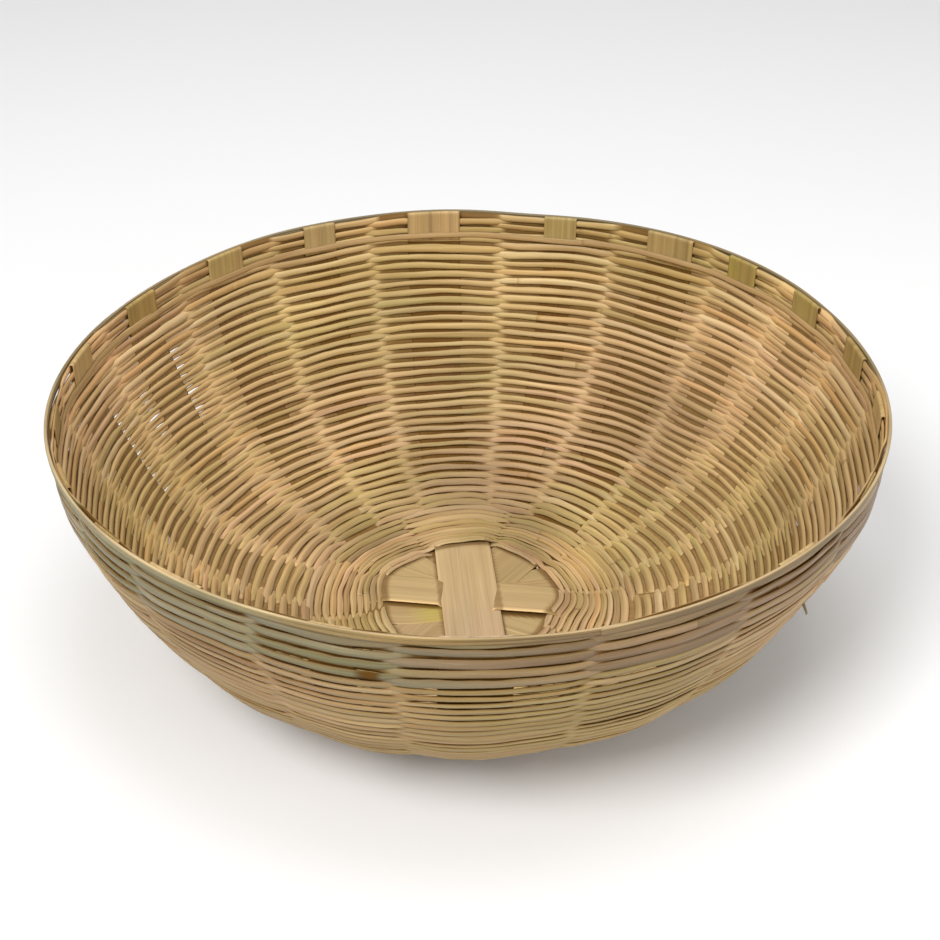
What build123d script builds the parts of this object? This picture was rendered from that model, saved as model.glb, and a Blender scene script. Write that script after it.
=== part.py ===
from build123d import *
import os
from math import sin, cos, radians, hypot

# Round woven bamboo winnowing basket: a deep bowl with a flat-bottomed floor.
# Origin: centre of the base ring, on the ground plane. +Z up. Millimetres.

# ---- driving dimensions ----
RIM_R = 200.0          # outer radius over the rim hoop
HEIGHT = 140.8         # base ring to the top edge of the rim hoop
WEAVE_T = 3.0          # woven wall, over and under together
SLAT_T = 0.5           # radial slats, split bamboo
SLAT_CLEAR = 0.12      # room around a slat inside the weave
ROW_GAP = 0.4          # gap between two courses of weave
HUB_LEVEL_0 = 1.05     # mid height of the lowest slat at the hub
HUB_STEP = 0.54        # height from one slat to the next at the hub
HUB_R = 54.0           # slats lie flat in their stack inside this radius
SPREAD_R = 70.0        # slats have come down to two levels at this radius
MERGE_IN, MERGE_OUT = 120.0, 132.0  # two levels become one between these
TWO_LEVEL = 0.44       # half the height between the two levels
RIM_WEAVE_TOP = 137.2  # top edge of the last course
FOLD_Z = 138.15        # centre of the fold where a slat end turns inward
TAB_LENGTH = 14.5      # folded-in slat end, along the inside of the wall
TAB_GAP = 0.25         # edge of a folded end to the inside of the weave
HOOP_T, HOOP_H = 1.1, 6.2    # flat splint around the outside of the rim
LOCK_T, LOCK_H = 0.9, 3.2    # inner splint that holds the folded ends

# name suffix, direction clockwise from +Y (deg), width, sideways shift, level
SLATS = [
    ("01", -83.0, 24.0, 4.0, 8),
    ("02", -63.0, 24.0, 0.0, 2),
    ("03", -44.0, 23.0, 0.0, 5),
    ("04", -26.0, 19.0, 0.0, 1),
    ("05", -5.0, 30.5, 1.0, 9),
    ("06", 16.0, 19.0, 0.0, 3),
    ("07", 36.5, 29.0, -3.0, 7),
    ("08", 50.5, 19.5, 0.0, 0),
    ("09", 65.5, 21.5, 0.0, 6),
    ("10", 81.0, 22.6, 0.0, 4),
]

# middle surface of the woven wall as (radius, height), floor to rim
MID = [
    (66.0, 1.75), (80.0, 2.6), (94.0, 5.6), (109.25, 10.3), (128.0, 18.6),
    (145.4, 30.2), (158.6, 43.2), (169.3, 58.0), (178.0, 73.0), (184.6, 86.5),
    (190.8, 101.0), (195.2, 114.5), (196.9, 126.0), (197.2, RIM_WEAVE_TOP + 0.9),
]

# ---- the middle surface, sampled ----
with BuildLine(Plane.XZ) as mid_line:
    Spline(*MID)
mid_edge = mid_line.edges()[0]
N_MID = 42
mid = []
for i in range(N_MID + 1):
    u = i / N_MID
    p, t = mid_edge.position_at(u), mid_edge.tangent_at(u)
    mid.append((p.X, p.Z, -t.Z, t.X))     # radius, height, inward normal


def offset_mid(i, d):
    r, z, nr, nz = mid[i]
    return (r + nr * d, z + nz * d)


def along(points):
    """Unit normals (to the left) at each point of an open path."""
    out = []
    for i, (x, z) in enumerate(points):
        a = points[max(i - 1, 0)]
        b = points[min(i + 1, len(points) - 1)]
        if 0 < i < len(points) - 1:
            d1 = (x - a[0], z - a[1])
            d2 = (b[0] - x, b[1] - z)
            l1, l2 = hypot(*d1), hypot(*d2)
            n1 = (-d1[1] / l1, d1[0] / l1)
            n2 = (-d2[1] / l2, d2[0] / l2)
            k = 1 + n1[0] * n2[0] + n1[1] * n2[1]
            out.append(((n1[0] + n2[0]) / k, (n1[1] + n2[1]) / k))
        else:
            d = (b[0] - a[0], b[1] - a[1])
            l = hypot(*d)
            out.append((-d[1] / l, d[0] / l))
    return out


def ribbon(points, thickness):
    """Closed outline of a strip of even thickness along an open path."""
    n = along(points)
    h = thickness / 2
    up = [(p[0] + q[0] * h, p[1] + q[1] * h) for p, q in zip(points, n)]
    down = [(p[0] - q[0] * h, p[1] - q[1] * h) for p, q in zip(points, n)]
    return up + down[::-1]


def tab_gap(width, shift):
    """Gap behind the middle of a flat folded end, whose edges come nearer the round wall."""
    return TAB_GAP + (width / 2 + abs(shift)) ** 2 / (2 * (MID[-1][0] - WEAVE_T / 2))


def slat_half(level, gap, folded):
    """Path of one half of a slat from the basket's axis to its end."""
    side = 1 if level >= 5 else -1
    z_hub = HUB_LEVEL_0 + HUB_STEP * level
    path = [(HUB_R, z_hub)]
    for i in range(N_MID + 1):
        r = mid[i][0]
        if r < SPREAD_R:
            continue
        f = min(max((MERGE_OUT - r) / (MERGE_OUT - MERGE_IN), 0.0), 1.0)
        path.append(offset_mid(i, side * TWO_LEVEL * f))
    r_end = path[-1][0]
    path[-1] = (r_end, FOLD_Z)
    if not folded:
        path.append((r_end, FOLD_Z + 4))
        return path
    reach = WEAVE_T / 2 + gap + SLAT_T / 2      # wall middle to tab middle
    rho = reach / 2
    for k in range(1, 7):
        a = radians(30 * k)
        path.append((r_end - rho + rho * cos(a), FOLD_Z + rho * sin(a)))
    z_low = FOLD_Z - TAB_LENGTH
    for i in range(N_MID, -1, -1):
        r, z = offset_mid(i, reach)
        if z_low + 1.0 < z < FOLD_Z - 1.0:
            path.append((r, z))
    r, z = path[-1]
    path.append((r - (z - z_low) * 0.06, z_low))
    return path


def slat_plane(azimuth, shift):
    """Upright plane through a slat's middle line; its normal points across the slat."""
    a = radians(azimuth)
    along_slat, across = Vector(sin(a), cos(a), 0), Vector(cos(a), -sin(a), 0)
    return Plane(origin=across * shift, x_dir=along_slat, z_dir=across)


slats = {}
pockets = []
for name, azimuth, width, shift, level in SLATS:
    plane = slat_plane(azimuth, shift)
    gap = tab_gap(width, shift)
    half = slat_half(level, gap, True)
    path = [(-x, z) for x, z in half[::-1]] + half
    with BuildPart() as slat:
        with BuildSketch(plane):
            with BuildLine():
                Polyline(*ribbon(path, SLAT_T), close=True)
            make_face()
        extrude(amount=width / 2, both=True)
    slat.part.label = f"base_slat_{name}"
    slats[name] = slat.part

    half = slat_half(level, gap, False)
    path = [(-x, z) for x, z in half[::-1]] + half
    with BuildPart() as pocket:
        with BuildSketch(plane):
            with BuildLine():
                Polyline(*ribbon(path, SLAT_T + 2 * SLAT_CLEAR), close=True)
            make_face()
        extrude(amount=width / 2 + 2 * SLAT_CLEAR, both=True)
    pockets.append(pocket.part)

# ---- courses of weave ----
H = WEAVE_T / 2


def first_beyond(radius):
    return next(i for i in range(N_MID + 1) if mid[i][0] >= radius)


def course_outline(i0, i1):
    """Section of a course between two samples of the middle surface."""
    g = ROW_GAP / 2
    outer, inner = [], []
    for i in range(i0, i1 + 1):
        outer.append(offset_mid(i, -H))
        inner.append(offset_mid(i, H))

    def trimmed(pts):
        (ax, az), (bx, bz) = pts[0], pts[1]
        l = hypot(bx - ax, bz - az)
        pts[0] = (ax + (bx - ax) * g / l, az + (bz - az) * g / l)
        (ax, az), (bx, bz) = pts[-1], pts[-2]
        l = hypot(bx - ax, bz - az)
        pts[-1] = (ax + (bx - ax) * g / l, az + (bz - az) * g / l)
        return pts

    return trimmed(outer) + trimmed(inner)[::-1]


# floor courses have a flat underside, on which the basket rests
i_floor = first_beyond(84.0)
x_out, z_out = offset_mid(i_floor, -H)
x_in, z_in = offset_mid(i_floor, H)
hub_ring_outline = [
    (47.0, 0.0), (62.0, 0.0), (62.0, 5.6), (54.0, 7.6), (48.5, 7.6), (47.0, 6.6),
]
floor_outline = [(62.4, 0.0), (74.0, 0.0), (x_out - 0.2, z_out - 0.02), (x_in - 0.2, z_in - 0.02), (74.0, 3.75), (68.0, 4.3), (62.4, 5.5)]

COURSES = [("hub_ring_weave", hub_ring_outline), ("inner_floor_weave", floor_outline)]
names = [
    "outer_floor_weave", "lower_bend_weave", "upper_bend_weave", "lower_wall_weave",
    "middle_wall_weave", "upper_wall_weave", "under_rim_weave", "rim_weave",
]
rim_i = next(i for i in range(N_MID + 1) if mid[i][1] >= 113.5)
top_i = next(i for i in range(N_MID + 1) if mid[i][1] >= RIM_WEAVE_TOP - 1.5)
n_between = len(names) - 1
stops = [round(i_floor + (rim_i - i_floor) * k / n_between) for k in range(n_between + 1)]
for k in range(n_between):
    COURSES.append((names[k], course_outline(stops[k], stops[k + 1])))
COURSES.append((names[-1], course_outline(rim_i, top_i)))

os.makedirs("parts", exist_ok=True)
parts = {}
for name, outline in COURSES:
    with BuildPart() as course:
        with BuildSketch(Plane.XZ):
            with BuildLine():
                Polyline(*outline, close=True)
            make_face()
        revolve(axis=Axis.Z)
        add(pockets, mode=Mode.SUBTRACT)
    course.part.label = name
    parts[name] = course.part

# ---- flat splint around the outside of the rim, level with the folds ----
with BuildPart() as rim_hoop:
    with BuildSketch(Plane.XY.offset(HEIGHT - HOOP_H)):
        Circle(RIM_R)
        Circle(RIM_R - HOOP_T, mode=Mode.SUBTRACT)
    extrude(amount=HOOP_H)
    fillet(rim_hoop.edges().group_by(Axis.Z)[-1], radius=0.3)
rim_hoop.part.label = "rim_hoop"
parts["rim_hoop"] = rim_hoop.part

# ---- inner splint over the lower ends of the folded slats ----
lock_i = min(range(N_MID + 1), key=lambda i: abs(mid[i][1] - (FOLD_Z - TAB_LENGTH + 2.5)))
widest = max(tab_gap(width, shift) for _, _, width, shift, _ in SLATS)
r_lock = offset_mid(lock_i, H + widest + SLAT_T + 0.3)[0] - 0.3
z_lock = mid[lock_i][1]
with BuildPart() as lock:
    with BuildSketch(Plane.XY.offset(z_lock - LOCK_H / 2)):
        Circle(r_lock)
        Circle(r_lock - LOCK_T, mode=Mode.SUBTRACT)
    extrude(amount=LOCK_H)
    fillet(lock.edges().filter_by(GeomType.CIRCLE), radius=0.3)
lock.part.label = "tab_lock_splint"
parts["tab_lock_splint"] = lock.part

for name, part in slats.items():
    parts[f"base_slat_{name}"] = part

for name, part in parts.items():
    part.label = name
    export_step(part, f"parts/{name}.step")
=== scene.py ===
import bpy
import math
import numpy as np
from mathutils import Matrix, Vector


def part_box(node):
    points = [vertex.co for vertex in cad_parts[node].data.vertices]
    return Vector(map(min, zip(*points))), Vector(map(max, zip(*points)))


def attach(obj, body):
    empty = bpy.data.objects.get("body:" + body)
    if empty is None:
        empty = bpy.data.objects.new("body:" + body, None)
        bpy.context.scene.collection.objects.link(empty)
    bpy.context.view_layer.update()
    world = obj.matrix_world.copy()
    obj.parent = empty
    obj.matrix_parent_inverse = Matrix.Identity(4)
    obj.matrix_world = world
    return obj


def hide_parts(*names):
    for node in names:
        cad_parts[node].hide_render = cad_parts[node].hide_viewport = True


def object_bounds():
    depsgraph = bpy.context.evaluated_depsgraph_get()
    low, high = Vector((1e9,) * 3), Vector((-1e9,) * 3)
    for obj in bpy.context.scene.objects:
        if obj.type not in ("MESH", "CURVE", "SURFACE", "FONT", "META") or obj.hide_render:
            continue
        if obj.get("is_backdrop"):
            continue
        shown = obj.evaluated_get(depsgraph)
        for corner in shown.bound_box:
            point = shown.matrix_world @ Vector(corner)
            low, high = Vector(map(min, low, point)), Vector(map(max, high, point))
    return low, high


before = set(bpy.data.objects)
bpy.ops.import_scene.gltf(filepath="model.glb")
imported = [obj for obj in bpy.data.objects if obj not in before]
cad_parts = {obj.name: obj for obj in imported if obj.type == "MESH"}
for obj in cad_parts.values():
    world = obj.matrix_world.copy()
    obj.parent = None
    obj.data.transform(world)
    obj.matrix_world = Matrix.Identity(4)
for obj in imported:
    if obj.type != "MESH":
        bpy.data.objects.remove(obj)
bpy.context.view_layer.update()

# ------------------------------------------------------------------ settings
# Millimetres here, turned to metres when a mesh is made.
RIM_R, HEIGHT = 200.0, 140.8
SLAT_T = 0.62                 # shown thickness of a slat
ROW_PITCH = 2.56              # between neighbouring rows of weave
HUB_LEVEL_0, HUB_STEP = 1.05, 0.54
HUB_R, SPREAD_R = 44.0, 60.0
MERGE_IN, MERGE_OUT = 120.0, 132.0
TWO_LEVEL = 0.44
FOLD_Z, TAB_LENGTH, TAB_GAP, WEAVE_T = 138.15, 14.5, 0.25, 3.0
PAIR_R = 87.0                 # rows inside this radius go over slats in pairs

# direction clockwise from +Y, width, sideways shift, level at the hub
SLATS = [
    (-83.0, 24.0, 4.0, 8), (-63.0, 24.0, 0.0, 2), (-44.0, 23.0, 0.0, 5),
    (-26.0, 19.0, 0.0, 1), (-5.0, 30.5, 1.0, 9), (16.0, 19.0, 0.0, 3),
    (36.5, 29.0, -3.0, 7), (50.5, 19.5, 0.0, 0), (65.5, 21.5, 0.0, 6),
    (81.0, 22.6, 0.0, 4),
]
MID = [
    (44.0, 3.3), (56.0, 2.5), (66.0, 1.75), (80.0, 2.6), (94.0, 5.6), (109.25, 10.3),
    (128.0, 18.6), (145.4, 30.2), (158.6, 43.2), (169.3, 58.0), (178.0, 73.0),
    (184.6, 86.5), (190.8, 101.0), (195.2, 114.5), (196.9, 126.0), (197.2, 138.1),
]
RNG = np.random.default_rng(4717)


def srgb(r, g, b):
    """A colour given in 0 to 255 display values, as linear numbers."""
    out = []
    for c in (r, g, b):
        c = c / 255.0
        out.append(c / 12.92 if c <= 0.04045 else ((c + 0.055) / 1.055) ** 2.4)
    return np.array(out)


def smooth(t):
    t = np.clip(t, 0.0, 1.0)
    return t * t * (3 - 2 * t)


# ------------------------------------------------------------------ the bowl's middle surface
def spline(points, n=1600):
    """Natural cubic through points by chord length; returns a dense path."""
    p = np.array(points, float)
    t = np.concatenate([[0], np.cumsum(np.hypot(*np.diff(p, axis=0).T))])
    m = len(t)
    h = np.diff(t)
    out = []
    tq = np.linspace(0, t[-1], n)
    for c in range(2):
        y = p[:, c]
        a = np.zeros((m, m))
        b = np.zeros(m)
        a[0, 0] = a[-1, -1] = 1
        for i in range(1, m - 1):
            a[i, i - 1], a[i, i], a[i, i + 1] = h[i - 1], 2 * (h[i - 1] + h[i]), h[i]
            b[i] = 6 * ((y[i + 1] - y[i]) / h[i] - (y[i] - y[i - 1]) / h[i - 1])
        k2 = np.linalg.solve(a, b)
        k = np.clip(np.searchsorted(t, tq) - 1, 0, m - 2)
        dt = tq - t[k]
        s1 = (y[k + 1] - y[k]) / h[k] - h[k] * (2 * k2[k] + k2[k + 1]) / 6
        out.append(y[k] + s1 * dt + k2[k] / 2 * dt**2 + (k2[k + 1] - k2[k]) / (6 * h[k]) * dt**3)
    return np.array(out).T


PATH = spline(MID)
S_TAB = np.concatenate([[0], np.cumsum(np.hypot(*np.diff(PATH, axis=0).T))])
TAN = np.gradient(PATH, axis=0)
TAN /= np.linalg.norm(TAN, axis=1)[:, None]
S_END = S_TAB[-1]


def mid_at(s):
    """radius, height, and the surface's slant direction (tr, tz) at slant distance s."""
    r = np.interp(s, S_TAB, PATH[:, 0])
    z = np.interp(s, S_TAB, PATH[:, 1])
    tr = np.interp(s, S_TAB, TAN[:, 0])
    tz = np.interp(s, S_TAB, TAN[:, 1])
    over = np.asarray(s) - S_END
    z = np.where(over > 0, z + over, z)
    return r, z, tr, tz


def s_of_r(r):
    return np.interp(r, PATH[:, 0], S_TAB)


def z_of_r(r):
    return np.interp(r, PATH[:, 0], PATH[:, 1])


# ------------------------------------------------------------------ slat levels
SEEN = {2: 5.6, 4: 7.5}       # levels whose slats lie higher where they can be seen


def two_level(level, r):
    side = 1.0 if level >= 5 else -1.0
    return side * TWO_LEVEL * np.clip((MERGE_OUT - r) / (MERGE_OUT - MERGE_IN), 0, 1)


def slat_z(level, x):
    """Mid height of a slat at a distance x along it, on the floor."""
    z_hub = HUB_LEVEL_0 + HUB_STEP * SEEN.get(level, level)
    low = z_of_r(SPREAD_R) + two_level(level, SPREAD_R)
    return np.where(
        x <= HUB_R, z_hub,
        np.where(x < SPREAD_R, z_hub + (low - z_hub) * smooth((x - HUB_R) / (SPREAD_R - HUB_R)),
                 z_of_r(x) + two_level(level, x)))


# stakes: each slat's two ends, in order round the bowl
STAKES = []
for k, (az, w, shift, level) in enumerate(SLATS):
    STAKES.append((az % 360.0, k, 1, w, shift, level))
    STAKES.append(((az + 180.0) % 360.0, k, -1, w, -shift, level))
STAKES.sort()
ST_AZ = np.array([s[0] for s in STAKES])
ST_W = np.array([s[3] for s in STAKES])
ST_SH = np.array([s[4] for s in STAKES])
ST_LV = np.array([s[5] for s in STAKES])
# sideways drift of a slat between hub and rim: (slat index, end) -> mm at the rim
END_DRIFT = {(4, 1): -4.2, (6, 1): 1.2, (4, -1): 15.0}
ST_DR = np.array([END_DRIFT.get((s[1], s[2]), 0.0) * s[2] * s[2] for s in STAKES])
N_ST = len(STAKES)
GRID = 1800
PHI = np.arange(GRID) * (360.0 / GRID)


def wrap(a):
    return (a + 180.0) % 360.0 - 180.0


def side_shift(j, r):
    """Sideways place of a stake at radius r, seen from the hub outwards."""
    return ST_SH[j] + ST_DR[j] * smooth((r - 60.0) / 135.0)


def coverage(r):
    """Over a ring of radius r: highest and lowest slat offset from the middle surface, NaN where bare."""
    d = np.radians(wrap(PHI[None, :] - ST_AZ[:, None]))
    lateral = r * np.sin(d) - side_shift(np.arange(N_ST), r)[:, None]
    ahead = r * np.cos(d)
    on = (np.abs(lateral) < ST_W[:, None] / 2) & (ahead > 0)
    zz = np.array([slat_z(ST_LV[j], ahead[j]) for j in range(N_ST)]) if r < 76 else None
    if zz is not None:
        off = zz - z_of_r(r)
    else:
        off = np.array([np.full(GRID, float(two_level(ST_LV[j], r))) for j in range(N_ST)])
    hi = np.where(on, off, -99).max(0)
    lo = np.where(on, off, 99).min(0)
    bare = ~on.any(0)
    hi[bare] = np.nan
    lo[bare] = np.nan
    return hi, lo


def stake_azimuth(j, r):
    return ST_AZ[j] + math.degrees(math.asin(min(1.0, float(side_shift(j, r)) / r)))


def column_edges(r, pairs):
    """Azimuths where a row changes side, in order, and the column each starts."""
    az = np.array([stake_azimuth(j, r) for j in range(N_ST)])
    half = np.degrees(np.arcsin(np.clip(ST_W / 2 / r, 0, 1)))
    if pairs:
        return [az[j] % 360.0 for j in range(N_ST) if ST_LV[j] < 5]
    out = []
    for j in range(N_ST):
        n = (j + 1) % N_ST
        a = az[j] + half[j]
        b = az[n] - half[n] + (360.0 if n == 0 else 0.0)
        out.append(((a + b) / 2) % 360.0)
    return sorted(out)


def ring_smooth(v, r, sigma):
    """Smooths a ring of values over sigma millimetres of its length."""
    f = np.fft.rfft(v)
    k = np.arange(len(f))
    return np.fft.irfft(f * np.exp(-0.5 * (k * sigma / r) ** 2), len(v))


class Wobble:
    """Smooth random field over azimuth and slant."""

    def __init__(self, modes, amp, s_scale, power=0.8):
        self.k = RNG.integers(1, modes + 1, 26)
        self.p = RNG.uniform(0, 2 * math.pi, 26)
        self.q = RNG.normal(0, 1, 26) / s_scale
        self.a = RNG.normal(0, 1, 26) * amp / self.k**power / 2.6

    def __call__(self, phi, s):
        f = np.zeros(np.broadcast(phi, s).shape)
        for k, p, q, a in zip(self.k, self.p, self.q, self.a):
            f = f + a * np.cos(k * np.radians(phi) + p + q * s)
        return f


drift = Wobble(16, 1.6, 22.0)         # rows wander up and down the wall together
breathe = Wobble(30, 0.42, 2.5, 0.25)  # each row on its own
bulge = Wobble(9, 1.0, 60.0)          # the whole wall in and out



def wall_shift(phi, s, r):
    """How far the wall is pushed outwards of its middle surface."""
    slow = bulge(phi, s) * smooth((r - 90) / 60.0) * smooth((S_END - s) / 30.0)
    near = np.zeros(np.shape(phi))
    for j in range(N_ST):
        near = near + np.exp(-0.5 * ((np.radians(wrap(phi - ST_AZ[j])) * r - ST_DR[j] * smooth((r - 60.0) / 135.0)) / 11.0) ** 2)
    ridge = 0.75 * near * smooth((r - 80) / 40.0) * smooth((192.0 - r) / 30.0)
    return slow + ridge


# bare hub: an uneven polygon where the first row runs
HUB_EDGE = [(-180, 46), (-135, 47), (-107, 45), (-90, 43.5), (-60, 49.5), (-40, 47.5), (-8, 50.0),
            (14, 53.0), (28, 49.5), (42, 49.0), (66, 48.0), (88, 49.0), (107, 43.5), (140, 46.0)]
_a = np.array([p[0] for p in HUB_EDGE] + [180.0])
_r = np.array([p[1] for p in HUB_EDGE] + [46.0])
hub_edge = ring_smooth(np.interp(wrap(PHI), _a, _r), 46.0, 3.0)

def out_of_true(v):
    """The real bowl's rim is not quite flat or round: moves points (in mm) a little."""
    x, y, z = v[:, 0], v[:, 1], v[:, 2]
    phi = np.degrees(np.arctan2(x, y))
    r = np.hypot(x, y)
    bell = lambda c, w: np.exp(-0.5 * (wrap(phi - c) / w) ** 2)
    up = 3.2 * bell(50, 19) - 1.4 * bell(-66, 18) + 0.8 * bell(-6, 10) + 1.2 * bell(-34, 10) - 1.2 * bell(10, 6)
    out = 1.8 * bell(-112, 18) + 1.6 * bell(98, 22)
    k = smooth((z - 50.0) / 90.0)
    r2 = r + out * k
    f = np.where(r > 1.0, r2 / np.maximum(r, 1.0), 1.0)
    return np.stack([x * f, y * f, z + up * k], 1)


# ------------------------------------------------------------------ mesh building
_t = (np.arange(12) + 0.5) * math.pi / 6
SECTION = np.stack([0.5 * np.sign(np.cos(_t)) * np.abs(np.cos(_t)) ** 0.80,
                    0.5 * np.sign(np.sin(_t)) * np.abs(np.sin(_t)) ** 0.85], 1)[::-1]
SECTION[:, 0] /= np.abs(SECTION[:, 0]).max() * 2
SECTION[:, 1] /= np.abs(SECTION[:, 1]).max() * 2
N_SEC = len(SECTION)


class Mesh:
    """Collects swept strips, with their colours and fibre directions, into one piece."""

    def __init__(self):
        self.v, self.f, self.tint, self.fib, self.painted_shade = [], [], [], [], []
        self.n = 0

    def strip(self, pts, tint, fib, painted_shade, closed=False, caps=True):
        """pts (n, m, 3): n sections of m points. tint (n, m, 3), fib (n, m, 3), and the amount of painted shade (n, m).
        """
        n, m = pts.shape[:2]
        self.v.append(pts.reshape(-1, 3))
        self.tint.append(np.broadcast_to(tint, (n, m, 3)).reshape(-1, 3))
        self.fib.append(np.broadcast_to(fib, (n, m, 3)).reshape(-1, 3))
        self.painted_shade.append(np.broadcast_to(painted_shade, (n, m)).reshape(-1))
        i = np.arange(n if closed else n - 1)[:, None]
        j = np.arange(m)[None, :]
        a = i * m + j
        b = i * m + (j + 1) % m
        c = ((i + 1) % n) * m + (j + 1) % m
        d = ((i + 1) % n) * m + j
        q = np.stack([a, b, c, d], -1).reshape(-1, 4) + self.n
        self.f += q.tolist()
        if caps and not closed:
            self.f.append([self.n + k for k in range(m)][::-1])
            self.f.append([self.n + (n - 1) * m + k for k in range(m)])
        self.n += n * m

    def make(self, name, material, slot, nodes):
        v = out_of_true(np.concatenate(self.v)) * 0.001
        me = bpy.data.meshes.new(name)
        me.from_pydata(v.tolist(), [], self.f)
        me.update()
        col = me.color_attributes.new("tint", "FLOAT_COLOR", "POINT")
        c = np.concatenate(self.tint)
        col.data.foreach_set("color", np.concatenate([c, np.ones((len(c), 1))], 1).ravel())
        fib = me.attributes.new("fib", "FLOAT_VECTOR", "POINT")
        fib.data.foreach_set("vector", np.concatenate(self.fib).ravel())
        painted_shade = me.attributes.new("painted_shade", "FLOAT", "POINT")
        painted_shade.data.foreach_set("value", np.concatenate(self.painted_shade).ravel())
        me.polygons.foreach_set("use_smooth", np.ones(len(me.polygons), bool))
        me.materials.append(material)
        o = bpy.data.objects.new(name, me)
        bpy.context.scene.collection.objects.link(o)
        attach(o, "root")
        if nodes:
            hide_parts(*nodes)
        return o


# ------------------------------------------------------------------ colours
STRAW, BUFF, PINK = srgb(204, 174, 124), srgb(186, 154, 104), srgb(196, 156, 124)
OLIVE, AMBER, GREYED = srgb(172, 154, 92), srgb(190, 144, 86), srgb(168, 144, 108)
CREAM = srgb(226, 202, 158)
GREEN, GREYGREEN, BROWN = srgb(144, 138, 90), srgb(158, 150, 114), srgb(158, 128, 88)
BASE = srgb(194, 162, 112)
PALETTE = [(STRAW, 0.26), (BUFF, 0.28), (PINK, 0.10), (OLIVE, 0.12), (AMBER, 0.10), (GREYED, 0.06), (CREAM, 0.08)]


def pick(palette):
    w = np.array([p[1] for p in palette])
    c = palette[RNG.choice(len(palette), p=w / w.sum())][0]
    return c * RNG.uniform(0.90, 1.10) * (1 + RNG.normal(0, 0.012, 3))


def splint_tone():
    return (0.60 * BASE + 0.40 * pick(PALETTE)) * RNG.uniform(0.93, 1.07)


def blend(a, b, f):
    return a * (1 - f)[:, None] + b[None, :] * f[:, None]


# ------------------------------------------------------------------ materials
def nodes_of(mat):
    mat.use_nodes = True
    nt = mat.node_tree
    nt.nodes.clear()
    return nt


def bamboo(name, across, along, lines=0.35, rough=(0.46, 0.66), bump=0.35, bump_mm=0.10, coat=0.0):
    """Split bamboo: colour from the strip, fine fibre lines along it, mottling, and painted shade, darker and less
    glossy, where the mesh asks for it.
    """
    mat = bpy.data.materials.new(name)
    nt = nodes_of(mat)
    N, L = nt.nodes.new, nt.links.new
    out = N("ShaderNodeOutputMaterial")
    bs = N("ShaderNodeBsdfPrincipled")
    L(bs.outputs["BSDF"], out.inputs["Surface"])
    fib = N("ShaderNodeAttribute"); fib.attribute_name = "fib"
    tint = N("ShaderNodeAttribute"); tint.attribute_name = "tint"
    painted_shade = N("ShaderNodeAttribute"); painted_shade.attribute_name = "painted_shade"

    def scaled(x, y, z):
        m = N("ShaderNodeVectorMath"); m.operation = "MULTIPLY"
        L(fib.outputs["Vector"], m.inputs[0])
        m.inputs[1].default_value = (x, y, z)
        return m.outputs["Vector"]

    def noise(vec, detail, rough_, distort=0.0):
        n = N("ShaderNodeTexNoise")
        n.inputs["Scale"].default_value = 1.0
        n.inputs["Detail"].default_value = detail
        n.inputs["Roughness"].default_value = rough_
        n.inputs["Distortion"].default_value = distort
        L(vec, n.inputs["Vector"])
        return n.outputs["Fac"]

    def remap(val, a, b, c, d):
        m = N("ShaderNodeMapRange")
        m.inputs["From Min"].default_value, m.inputs["From Max"].default_value = a, b
        m.inputs["To Min"].default_value, m.inputs["To Max"].default_value = c, d
        L(val, m.inputs["Value"])
        return m.outputs["Result"]

    def mix(kind, fac, a, b):
        m = N("ShaderNodeMix"); m.data_type = "RGBA"; m.blend_type = kind
        if isinstance(fac, float):
            m.inputs["Factor"].default_value = fac
        else:
            L(fac, m.inputs["Factor"])
        for sock, val in ((m.inputs["A"], a), (m.inputs["B"], b)):
            if isinstance(val, tuple):
                sock.default_value = (*val, 1.0)
            else:
                L(val, sock)
        return m.outputs["Result"]

    fine = noise(scaled(along, across, 61.0), 4.0, 0.62)
    coarse = noise(scaled(along * 0.35, across * 0.22, 23.0), 3.0, 0.55, 0.3)
    patch = noise(scaled(9.0, 0.35, 11.0), 3.0, 0.5)
    # fibre lines: lighter and darker
    c = mix("MULTIPLY", remap(fine, 0.42, 0.75, 0.0, lines), tint.outputs["Color"], (0.42, 0.30, 0.17))
    c = mix("MIX", remap(fine, 0.40, 0.22, 0.0, lines * 0.8), c, tuple(float(x) for x in srgb(232, 208, 160)))
    # slow changes along the strip
    c = mix("MULTIPLY", remap(coarse, 0.50, 0.80, 0.0, 0.55), c, (0.62, 0.50, 0.34))
    c = mix("MIX", remap(patch, 0.52, 0.78, 0.0, 0.30), c, tuple(float(x) for x in srgb(150, 132, 72)))
    c = mix("MIX", remap(patch, 0.46, 0.24, 0.0, 0.22), c, tuple(float(x) for x in srgb(204, 160, 124)))
    # painted shade in the creases and gaps, as the mesh gives it
    c = mix("MIX", remap(painted_shade.outputs["Fac"], 0.0, 1.0, 0.0, 0.88), c, tuple(float(x) for x in srgb(94, 60, 14)))
    L(c, bs.inputs["Base Color"])
    L(remap(fine, 0.3, 0.7, rough[0], rough[1]), bs.inputs["Roughness"])
    L(remap(painted_shade.outputs["Fac"], 0.0, 0.8, 0.40, 0.04), bs.inputs["Specular IOR Level"])
    if coat:
        bs.inputs["Coat Weight"].default_value = coat
        bs.inputs["Coat Roughness"].default_value = 0.32
    bp = N("ShaderNodeBump")
    bp.inputs["Strength"].default_value = bump
    bp.inputs["Distance"].default_value = bump_mm * 0.001
    L(fine, bp.inputs["Height"])
    L(bp.outputs["Normal"], bs.inputs["Normal"])
    return mat


M_WEAVER = bamboo("weaver_bamboo", across=2.6, along=34.0, lines=0.34, coat=0.0)
M_SLAT = bamboo("slat_bamboo", across=15.0, along=18.0, lines=0.30, rough=(0.50, 0.68), bump=0.30, bump_mm=0.12)
M_RIM = bamboo("rim_bamboo_skin", across=2.2, along=26.0, lines=0.30, rough=(0.36, 0.56), bump=0.28, coat=0.0)

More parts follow.
